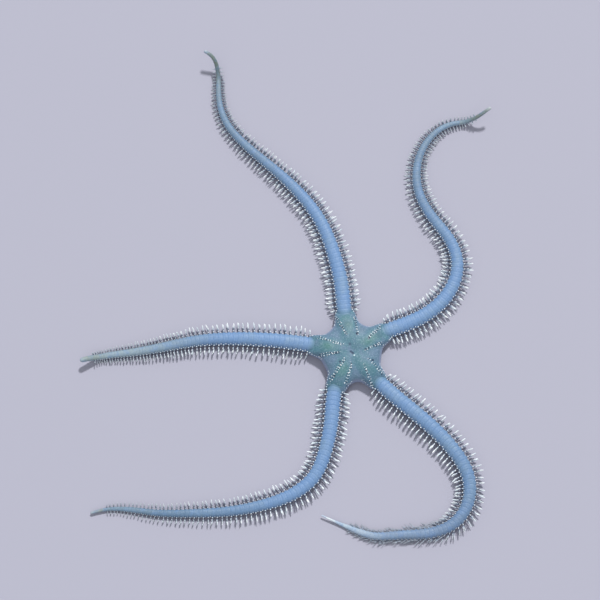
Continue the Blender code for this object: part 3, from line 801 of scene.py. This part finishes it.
def granule_places(arms, bearings):
    """Where the granules of the back stand from the disc's middle, and which are dusky.

    White and dusky ones take turns in a pair of lines along both sides of the way to each arm.
    Small white ones edge the sides of the lobes.
    """
    places = []
    for arm in arms:
        for start, end in arm.granule_rows:
            start, end = np.array(start) * MM, np.array(end) * MM
            span = np.linalg.norm(end - start)
            aside = np.array((start[1] - end[1], end[0] - start[0])) / span
            for k in range(int(2 * span / GRANULE_STEP) + 1):
                for line in (-1, 1):
                    way = (0.5 * k + LINE_SHIFT * line) * GRANULE_STEP / span
                    spread = GRANULE_LINES * (LINES_AT_START + LINES_GROWTH * way)
                    out, off = start + (end - start) * way + aside * line * spread
                    dusky = (k + (line > 0)) % 2
                    size = DUSKY_RADIUS if dusky else GRANULE_RADIUS
                    angle = arm.bearing + math.atan2(off, out)
                    places.append((math.hypot(out, off), angle, size, dusky))
        for side in (-1, 1):
            for turn in np.arange(*EDGE_GRANULES):
                angle = arm.bearing + side * math.radians(turn)
                radius = EDGE_SHARE * float(disc_reach(angle, bearings))
                places.append((radius, angle, EDGE_RADIUS, 0))
    return np.array(places).T


def granule_stands(arms, bearings, rng):
    radius, angle, size, dusky = granule_places(arms, bearings)
    count = len(radius)
    radius = radius + rng.uniform(-GRANULE_STRAY, GRANULE_STRAY, count)
    angle = angle + rng.uniform(-GRANULE_STRAY, GRANULE_STRAY, count) / radius
    height = back_height(angle, radius / disc_reach(angle, bearings), bearings)
    root = DISC_CENTRE + np.stack((radius * np.cos(angle), radius * np.sin(angle), height), -1)
    outward = (root - DISC_CENTRE - UP * height[:, None]) / (2 * SKIN_LOBE_REACH)
    raised = np.where(dusky > 0, DUSKY_HEIGHT, GRANULE_HEIGHT * size / GRANULE_RADIUS)
    return {
        "root": root - UP * GRANULE_SINK,
        "direction": UP + GRANULE_TILT * outward,
        "side": np.tile((1.0, 0.0, 0.0), (count, 1)),
        "length": GRANULE_SINK + raised * rng.uniform(0.8, 1.2, count),
        "radius": size * rng.uniform(*GRANULE_SIZES, count),
        "bend": np.zeros((count, 3)),
        "flat": 1.0,
        "map": 0.5 + (root - DISC_CENTRE)[:, :2] / (2.2 * SKIN_LOBE_REACH),
        "numbers": {"tint": rng.uniform(0, 1, count), "dusky": dusky},
    }


def build_granules(arms, bearings, material, rng):
    stands = granule_stands(arms, bearings, rng)
    granules = tapered_pieces("granules", stands, DOME_PROFILE, DOME_SIDES, material)
    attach(granules, BODY)


def foot_stands(arm, rng):
    """Where the scales of the tube feet lie: two under each segment, beside its belly plate."""
    ways = arm.stations(FOOT_PHASE, FEET_FROM)
    station, side = (grid.ravel() for grid in np.meshgrid(ways, (-1.0, 1.0), indexing="ij"))
    count = len(station)
    place, along, left, up = arm.frame(station)
    width = arm.half_width(station)
    outward = side[:, None] * left
    out_share, along_share, up_share = FOOT_WAY
    on_map = (0.02 + 0.96 * station / arm.length, 0.1 * arm.number + 0.03 * side)
    return {
        "root": place + width[:, None] * (FOOT_ACROSS * outward + FOOT_LIFT * up),
        "direction": out_share * outward + along_share * along + up_share * up,
        "side": up,
        "length": FOOT_LENGTH * width * rng.uniform(0.9, 1.1, count),
        "radius": FOOT_RADIUS * width,
        "bend": np.zeros((count, 3)),
        "flat": FOOT_FLAT,
        "map": np.stack(on_map, -1),
        "numbers": {"tint": rng.uniform(0, 1, count)},
    }


def joined_stands(several):
    """One set of stands made of several of the same kind."""
    joined = {"flat": several[0]["flat"]}
    for key in ("root", "direction", "side", "length", "radius", "bend", "map"):
        joined[key] = np.concatenate([stands[key] for stands in several])
    tints = [stands["numbers"]["tint"] for stands in several]
    joined["numbers"] = {"tint": np.concatenate(tints)}
    return joined


def build_feet(arms, material, rng):
    stands = joined_stands([foot_stands(arm, rng) for arm in arms])
    feet = tapered_pieces("tube_foot_scales", stands, DOME_PROFILE, DOME_SIDES, material)
    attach(feet, BODY)


# The mouth


def jaw_places(bearings):
    """The directions out and aside of each jaw, which lies between two arms, and half its angle."""
    ordered = sorted(bearing % math.tau for bearing in bearings)
    for bearing, following in zip(ordered, [*ordered[1:], ordered[0] + math.tau]):
        middle, half_turn = (bearing + following) / 2, (following - bearing) / 2
        out = np.array((math.cos(middle), math.sin(middle), 0.0))
        yield out, np.array((-out[1], out[0], 0.0)), half_turn


def jaw_half_width(way, half_turn):
    """Half a jaw's width between its two slots, so far out from the middle of the mouth."""
    return max(way * math.tan(half_turn) - MOUTH_SLOT / math.cos(half_turn), JAW_LEAST)


def jaw_mesh_parts(bearings):
    """The points and faces of five jaws, grooved beneath, and how shaded each point is."""
    points, faces, shades = [], [], []
    turn = 2 * np.pi * np.arange(JAW_AROUND) / JAW_AROUND
    across = np.sign(np.cos(turn)) * np.abs(np.cos(turn)) ** 0.6
    rounded = np.sign(np.sin(turn)) * np.abs(np.sin(turn)) ** 0.85
    ways = JAW_TIP + (JAW_REACH - JAW_TIP) * np.linspace(0, 1, JAW_RINGS) ** 0.9
    for out, aside, half_turn in jaw_places(bearings):
        base = JAW_AROUND * len(points)
        for way in ways:
            wide = min(jaw_half_width(way, half_turn), math.sqrt(JAW_END**2 - way**2))
            grown = smooth_step((way - JAW_TIP) / MM)
            rise = rounded * (JAW_TIP_HEIGHT + (1 - JAW_TIP_HEIGHT) * grown)
            beneath = smooth_step(-rise * 2)
            groove = beneath * np.exp(-((across * wide / JAW_GROOVE_WIDTH) ** 2))
            height = JAW_MIDDLE + rise * JAW_HALF_HEIGHT + JAW_GROOVE * groove
            shades.append(np.maximum(groove, 0.6 * smooth_step(2 * np.abs(across) - 1.2)))
            flat = out * way + (across * wide)[:, None] * aside
            points.append(DISC_CENTRE + flat + height[:, None] * UP)
        faces += (ring_faces(JAW_RINGS, JAW_AROUND) + base).tolist()
        faces.append([base + k for k in reversed(range(JAW_AROUND))])
        faces.append([base + (JAW_RINGS - 1) * JAW_AROUND + k for k in range(JAW_AROUND)])
    return np.concatenate(points), faces, np.concatenate(shades)


def mouth_stands(bearings, rng):
    """The small pieces round the mouth: papillae on the jaws' edges, teeth and shields."""
    papillae, shields = [], []
    on_belly = UP * (BELLY_LIFT + SHIELDS["lift"])
    for out, aside, half_turn in jaw_places(bearings):
        for side in (-1, 1):
            for k in range(PAPILLAE["count"]):
                way = JAW_TIP + (PAPILLAE["reach"] - JAW_TIP) * (k + 0.3) / PAPILLAE["count"]
                wide = jaw_half_width(way, half_turn) - PAPILLAE["sink"]
                place = out * way + aside * side * wide + UP * PAPILLAE["height"]
                lean = aside * side * 0.8 - out * 0.55 - UP * 0.35
                papillae.append((place, lean, UP, PAPILLAE["length"], PAPILLAE["radius"]))
            place = out * SIDE_SHIELD["out"] + aside * side * SIDE_SHIELD["aside"] + on_belly
            turned = aside * side + 0.5 * out
            shields.append((place, -UP, turned, SIDE_SHIELD["length"], SIDE_SHIELD["radius"]))
        for k in range(TEETH["count"]):
            place = out * (JAW_TIP + TEETH["ahead"]) + UP * (PAPILLAE["height"] + TEETH["step"] * k)
            papillae.append((place, -out, UP, TEETH["length"], TEETH["radius"]))
        place = out * GREAT_SHIELD["out"] + on_belly
        shields.append((place, -UP, out, GREAT_SHIELD["length"], GREAT_SHIELD["radius"]))
    both = []
    for pieces, kind in ((papillae, PAPILLAE), (shields, SHIELDS)):
        root, direction, side, length, radius = (np.array(column) for column in zip(*pieces))
        count = len(root)
        both.append({
            "root": DISC_CENTRE + root,
            "direction": direction,
            "side": side,
            "length": length * rng.uniform(0.95, 1.05, count),
            "radius": radius * rng.uniform(0.95, 1.05, count),
            "bend": np.zeros((count, 3)),
            "flat": kind["flat"],
            "map": 0.5 + root[:, :2] / (16 * MM),
            "numbers": {"tint": rng.uniform(0, 1, count)},
        })
    return both


def build_mouth(bearings, material, rng):
    points, faces, shades = jaw_mesh_parts(bearings)
    jaws = object_from("jaws", mesh_of("jaws", points, faces), material)
    store(jaws.data, "shade", shades)
    jaws.data.set_sharp_from_angle(angle=math.radians(JAW_CREASE))
    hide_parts("mouth_frame")
    papillae, shields = mouth_stands(bearings, rng)
    pieces = [
        jaws,
        tapered_pieces("mouth_papillae", papillae, DOME_PROFILE, PAPILLAE["sides"], material),
        tapered_pieces("mouth_shields", shields, SHIELD_PROFILE, SHIELDS["sides"], material),
    ]
    for piece in pieces:
        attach(piece, BODY)


# Materials


def add_node(tree, kind, inputs=(), **settings):
    """Adds a node with its settings, and gives its inputs values, screen colours or links."""
    made = tree.nodes.new(kind)
    for key, value in settings.items():
        setattr(made, key, value)
    for key, value in dict(inputs).items():
        if isinstance(value, bpy.types.NodeSocket):
            tree.links.new(value, made.inputs[key])
        else:
            colour = isinstance(value, tuple)
            made.inputs[key].default_value = srgb(*value) if colour else value
    return made


def read(tree, name):
    """The number that the mesh keeps under this name."""
    return add_node(tree, "ShaderNodeAttribute", attribute_name=name).outputs["Fac"]


def calculate(tree, operation, first, second=0.0, clamp=False):
    inputs = {0: first, 1: second}
    return add_node(tree, "ShaderNodeMath", inputs, operation=operation, use_clamp=clamp).outputs[0]


def times(tree, first, second):
    return calculate(tree, "MULTIPLY", first, second)


def blend(tree, factor, first, second):
    """Mixes two colours."""
    inputs = {0: factor, 6: first, 7: second}
    return add_node(tree, "ShaderNodeMix", inputs, data_type="RGBA").outputs[2]


def between(tree, value, low, high):
    """0 where the value is at low, 1 where it is at high, and smooth between them."""
    inputs = {"Value": value, "From Min": low, "From Max": high}
    made = add_node(tree, "ShaderNodeMapRange", inputs, interpolation_type="SMOOTHSTEP")
    return made.outputs["Result"]


def rescaled(tree, value, low, high, new_low, new_high):
    """new_low where the value is at low, new_high where it is at high, and even between them."""
    inputs = {"Value": value, "From Min": low, "From Max": high}
    inputs |= {"To Min": new_low, "To Max": new_high}
    return add_node(tree, "ShaderNodeMapRange", inputs).outputs["Result"]


def colour_ramp(tree, factor, stops):
    """A colour ramp with these stops, each a place and a screen colour."""
    made = add_node(tree, "ShaderNodeValToRGB", {"Fac": factor})
    elements = made.color_ramp.elements
    while len(elements) < len(stops):
        elements.new(0.5)
    for element, (place, colour) in zip(elements, stops):
        element.position = place
        element.color = srgb(*colour)
    return made.outputs["Color"]


def new_group(name, inputs, outputs):
    """An empty shader node group with named sockets, its tree, and its two end nodes."""
    group = bpy.data.node_groups.new(name, "ShaderNodeTree")
    for key, (kind, value) in inputs.items():
        socket = group.interface.new_socket(key, in_out="INPUT", socket_type=kind)
        socket.default_value = value
    for key, kind in outputs.items():
        group.interface.new_socket(key, in_out="OUTPUT", socket_type=kind)
    return group, group.nodes.new("NodeGroupInput"), group.nodes.new("NodeGroupOutput")


def grain_group():
    """Fine grains packed side by side, and a soft cloud that varies them."""
    group, given, result = new_group(
        "Fine grain",
        {"Grain size": ("NodeSocketFloat", 0.2), "Roundness": ("NodeSocketFloat", 0.5)},
        {"Height": "NodeSocketFloat", "Shade": "NodeSocketFloat"},
    )
    place = add_node(group, "ShaderNodeTexCoord").outputs["Object"]
    scale = calculate(group, "DIVIDE", 1 / MM, given.outputs["Grain size"])
    cells = add_node(group, "ShaderNodeTexVoronoi", {"Vector": place, "Scale": scale})
    bead = between(group, cells.outputs["Distance"], 0.75, 0.05)
    cloud = add_node(group, "ShaderNodeTexNoise", {"Vector": place, "Scale": 900.0, "Detail": 3.0})
    inputs = {0: given.outputs["Roundness"], 2: cloud.outputs["Fac"], 3: bead}
    height = add_node(group, "ShaderNodeMix", inputs, data_type="FLOAT").outputs[0]
    group.links.new(height, result.inputs["Height"])
    group.links.new(cloud.outputs["Fac"], result.inputs["Shade"])
    return group


def mottling_group():
    """Soft spots of a second colour, and fine dark and light flecks."""
    group, given, result = new_group(
        "Mottling",
        {
            "Main colour": ("NodeSocketColor", (0.5, 0.5, 0.5, 1)),
            "Spot colour": ("NodeSocketColor", (0.3, 0.3, 0.3, 1)),
            "Spot scale": ("NodeSocketFloat", 500.0),
            "Amount": ("NodeSocketFloat", 0.5),
            "Flecks": ("NodeSocketFloat", 0.3),
        },
        {"Color": "NodeSocketColor"},
    )
    place = add_node(group, "ShaderNodeTexCoord").outputs["Object"]
    inputs = {"Vector": place, "Scale": given.outputs["Spot scale"], "Detail": 4.0, "Roughness": 0.6}
    cloud = add_node(group, "ShaderNodeTexNoise", inputs).outputs["Fac"]
    factor = times(group, between(group, cloud, 0.42, 0.68), given.outputs["Amount"])
    mixed = blend(group, factor, given.outputs["Main colour"], given.outputs["Spot colour"])
    inputs = {"Vector": place, "Scale": 2600.0, "Detail": 2.0}
    fine = add_node(group, "ShaderNodeTexNoise", inputs).outputs["Fac"]
    for low, high, colour in ((0.5, 0.36, (30, 50, 74)), (0.54, 0.68, (196, 212, 226))):
        flecks = times(group, between(group, fine, low, high), given.outputs["Flecks"])
        mixed = blend(group, times(group, flecks, 0.45), mixed, colour)
    group.links.new(mixed, result.inputs["Color"])
    return group


def grained(tree, grain, size, roundness):
    """The height and the shade of grains of this size in millimetres."""
    inputs = {"Grain size": size, "Roundness": roundness}
    made = add_node(tree, "ShaderNodeGroup", inputs, node_tree=grain)
    return made.outputs["Height"], made.outputs["Shade"]


def mottled(tree, mottling, main, spot, scale, amount, flecks=0.3):
    """The main colour with spots of the second one and with flecks."""
    inputs = {"Main colour": main, "Spot colour": spot, "Spot scale": scale}
    inputs |= {"Amount": amount, "Flecks": flecks}
    return add_node(tree, "ShaderNodeGroup", inputs, node_tree=mottling).outputs["Color"]


class Finish:
    """A material with its tree and its shader."""

    def __init__(self, name, **constants):
        self.material = bpy.data.materials.new(name)
        self.material.use_nodes = True
        self.tree = self.material.node_tree
        self.shader = self.tree.nodes["Principled BSDF"]
        for key, value in constants.items():
            self.shader.inputs[key.replace("_", " ")].default_value = value

    def feed(self, socket, value):
        self.tree.links.new(value, self.shader.inputs[socket])

    def bump(self, height, strength, distance):
        inputs = {"Height": height, "Strength": strength, "Distance": distance}
        self.feed("Normal", add_node(self.tree, "ShaderNodeBump", inputs).outputs["Normal"])


def arm_finish(grain, mottling):
    """Pale blue skin over low plates and pale beneath, with painted light on the band's shoulders and
    dark flanks that are partly painted shade.
    """
    finish = Finish("arm_plates", Coat_Weight=0.06, Coat_Roughness=0.4)
    tree = finish.tree
    share, height, plates = read(tree, "arm_share"), read(tree, "arm_height"), read(tree, "arm_plates")
    usual = colour_ramp(tree, share, (
        (0.0, (105, 140, 183)), (0.35, (105, 139, 181)), (0.55, (97, 127, 160)),
        (0.78, (90, 117, 142)), (0.94, (100, 120, 132)), (0.985, (146, 152, 148)),
        (1.0, (184, 188, 182)),
    ))
    pale = colour_ramp(tree, share, (
        (0.0, (105, 140, 183)), (0.42, (99, 130, 164)), (0.6, (102, 126, 156)),
        (0.78, (116, 136, 162)), (0.93, (172, 188, 202)), (1.0, (228, 234, 236)),
    ))
    band = blend(tree, read(tree, "outer_pale"), usual, pale)
    fair = times(tree, between(tree, share, 0.35, 0.85), read(tree, "outer_fair"))
    band = blend(tree, fair, band, (142, 160, 168))
    end = times(tree, between(tree, share, 0.86, 0.955), between(tree, share, 0.998, 0.98))
    greenish = times(tree, end, read(tree, "outer_green"))
    band = blend(tree, times(tree, greenish, 0.85), band, (104, 114, 92))
    band = mottled(tree, mottling, band, (118, 146, 172), 190.0, 0.5, flecks=0.0)
    band = mottled(tree, mottling, band, (96, 134, 184), 520.0, 0.35, flecks=0.22)
    wave = calculate(tree, "PINGPONG", plates, 0.5)
    joint = between(tree, wave, 0.13, 0.0)
    middle = between(tree, wave, 0.4, 0.5)
    lines = calculate(tree, "ADD", joint, times(tree, middle, 0.6), clamp=True)
    drawn = rescaled(tree, share, 0.05, 0.35, 0.15, 0.07)
    band = blend(tree, times(tree, lines, drawn), band, (78, 104, 146))
    in_joint = times(tree, joint, 0.6)
    # The flanks' dark slate is partly their own tone and partly painted shade for the shadow beside
    # the band
    flank = blend(tree, in_joint, (74, 88, 110), (40, 48, 62))
    under = blend(tree, in_joint, (190, 198, 200), (120, 130, 138))
    # Painted light: the band is made paler low on its shoulders, to offset the shading where the back
    # turns away from the light
    lit_shoulder = blend(tree, 0.42, band, (176, 202, 228))
    band = blend(tree, between(tree, height, 0.9, 1.35), lit_shoulder, band)
    colour = blend(tree, between(tree, height, 0.38, 0.64), flank, band)
    across = read(tree, "arm_across")
    bowed = times(tree, times(tree, across, across), 0.012)
    clear = between(tree, calculate(tree, "SUBTRACT", share, bowed), -0.018, 0.018)
    colour = blend(tree, clear, (88, 124, 143), colour)
    finish.feed("Base Color", blend(tree, between(tree, height, 0.24, 0.1), colour, under))
    grains, shade = grained(tree, grain, 0.16, 0.35)
    finish.feed("Roughness", rescaled(tree, shade, 0.3, 0.7, 0.5, 0.64))
    relief = calculate(tree, "ADD", times(tree, grains, 0.5), times(tree, lines, -0.5))
    finish.bump(relief, 0.75, 0.08 * MM)
    return finish.material


def disc_finish(grain, mottling):
    """Damp, grainy skin: teal, greener towards the arms, bluer between them, lilac at the rim, with
    dark marks that are partly painted shade.
    """
    finish = Finish("disc_skin", Coat_Weight=0.08, Coat_Roughness=0.4, Roughness=0.58)
    tree = finish.tree
    off, rim, marks_and_shade = read(tree, "disc_off"), read(tree, "disc_rim"), read(tree, "disc_marks_and_shade")
    teal = mottled(tree, mottling, (74, 117, 134), (92, 120, 147), 420.0, 0.9, flecks=0.4)
    green = mottled(tree, mottling, (74, 122, 122), (90, 130, 138), 600.0, 1.0, flecks=0.4)
    field = mottled(tree, mottling, (98, 125, 150), (86, 120, 138), 450.0, 0.7, flecks=0.4)
    pale = mottled(tree, mottling, (160, 172, 176), (132, 150, 160), 500.0, 0.8)
    in_field = between(tree, off, 1.9, 4.2)
    colour = blend(tree, in_field, teal, field)
    colour = blend(tree, read(tree, "ray_green"), colour, green)
    at_rim = times(tree, between(tree, rim, 0.9, 0.99), in_field)
    colour = blend(tree, times(tree, at_rim, 0.75), colour, (144, 154, 184))
    colour = blend(tree, read(tree, "belly"), colour, pale)
    # Painted shade in the pits and in the wide dark clouds, together with the dark streak; then the
    # pale spots
    colour = blend(tree, between(tree, marks_and_shade, -0.15, -0.75), colour, (40, 66, 92))
    colour = blend(tree, between(tree, marks_and_shade, 0.25, 0.7), colour, (196, 216, 222))
    finish.feed("Base Color", colour)
    grains, _ = grained(tree, grain, 0.26, 0.7)
    finish.bump(grains, 0.6, 0.08 * MM)
    return finish.material


def spine_finish(grain):
    """Glassy spines, white further out, with a dark root that is partly their own dusky tone and
    partly painted shade.
    """
    finish = Finish("spine_glass", Roughness=0.32)
    tree = finish.tree
    past = calculate(tree, "SUBTRACT", read(tree, "along"), read(tree, "white_from"))
    cloudy = between(tree, past, -0.3, 0.0)
    white = between(tree, past, -0.08, 0.2)
    tip = blend(tree, read(tree, "tint"), (214, 226, 232), (244, 248, 250))
    tip = blend(tree, read(tree, "dusk"), tip, (136, 144, 156))
    # The shafts' dark root colour is partly painted shade, darker than the pale glass, for the shadow
    # between the combs
    shaded_shaft = blend(tree, cloudy, (92, 101, 122), (164, 177, 194))
    colour = blend(tree, white, shaded_shaft, tip)
    grains, shade = grained(tree, grain, 0.1, 0.5)
    hazy = times(tree, between(tree, shade, 0.5, 0.7), 0.3)
    finish.feed("Base Color", blend(tree, hazy, colour, (150, 168, 186)))
    finish.bump(grains, 0.6, 0.05 * MM)
    return finish.material


def bone_finish(grain, mottling):
    """Pale chalky bone with a fine pitted grain."""
    finish = Finish("jaw_bone", Roughness=0.55)
    tree = finish.tree
    bone = mottled(tree, mottling, (206, 212, 210), (168, 176, 178), 900.0, 0.6)
    shaded = times(tree, read(tree, "shade"), 0.7)
    finish.feed("Base Color", blend(tree, shaded, bone, (96, 108, 118)))
    grains, _ = grained(tree, grain, 0.14, 0.6)
    finish.bump(grains, 0.5, 0.05 * MM)
    return finish.material


def granule_finish():
    """White granules, with dark blue ones between them."""
    finish = Finish("granule_white", Roughness=0.35)
    tree = finish.tree
    white = blend(tree, read(tree, "tint"), (206, 222, 230), (244, 249, 252))
    finish.feed("Base Color", blend(tree, read(tree, "dusky"), white, (30, 46, 72)))
    return finish.material


def floor_finish():
    finish = Finish("floor_paint", Roughness=0.75)
    finish.shader.inputs["Base Color"].default_value = srgb(164, 164, 179)
    return finish.material


# The floor, the lights and the camera

CAMERA_FROM_DISC = np.array((-16.48, -113.345, 526.401)) * MM
CAMERA_TILT = 14.0
FOCAL_LENGTH = 100.0


def build_stage(material):
    corners = np.array(((-1, -1, 0), (1, -1, 0), (1, 1, 0), (-1, 1, 0))) * 3.0
    floor = object_from("floor", mesh_of("floor", corners, [(0, 1, 2, 3)]), material)


def add_light(name, azimuth, elevation, spread, strength, colour):
    """A distant studio light. Azimuth 0 is from +Y and 90 from +X, and spread softens its shadows."""
    lamp = bpy.data.lights.new(name, "SUN")
    lamp.angle = math.radians(spread)
    lamp.energy = strength
    lamp.color = colour
    obj = bpy.data.objects.new(name, lamp)
    obj.rotation_euler = (math.radians(90 - elevation), 0, math.radians(180 - azimuth))
    bpy.context.scene.collection.objects.link(obj)


def build_lights():
    add_light("key", 17, 52, 6, 3.0, (1.0, 0.99, 0.97))
    add_light("fill", 205, 55, 60, 0.35, (0.95, 0.97, 1.0))
    world = bpy.data.worlds.new("studio")
    bpy.context.scene.world = world
    world.use_nodes = True
    background = world.node_tree.nodes["Background"]
    background.inputs["Color"].default_value = (0.93, 0.95, 1.0, 1.0)
    background.inputs["Strength"].default_value = 0.52


def build_camera():
    lens = bpy.data.cameras.new("camera")
    lens.lens = FOCAL_LENGTH
    lens.clip_start = 0.01
    camera = bpy.data.objects.new("camera", lens)
    camera.location = DISC_CENTRE + CAMERA_FROM_DISC
    camera.rotation_euler = (math.radians(CAMERA_TILT), 0, 0)
    bpy.context.scene.collection.objects.link(camera)
    bpy.context.scene.camera = camera
    bpy.context.scene.view_settings.view_transform = "Standard"


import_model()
rng = np.random.default_rng(7)
arms = [Arm(number, facts) for number, facts in enumerate(ARMS, start=1)]
bearings = [arm.bearing for arm in arms]
grain = grain_group()
mottling = mottling_group()
skins = {"arm": arm_finish(grain, mottling), "disc": disc_finish(grain, mottling)}
build_skin(arms, bearings, skins)
glass = spine_finish(grain)
for arm in arms:
    build_spines(arm, glass, rng)
build_granules(arms, bearings, granule_finish(), rng)
bone = bone_finish(grain, mottling)
build_feet(arms, bone, rng)
build_mouth(bearings, bone, rng)
build_stage(floor_finish())
build_lights()
build_camera()
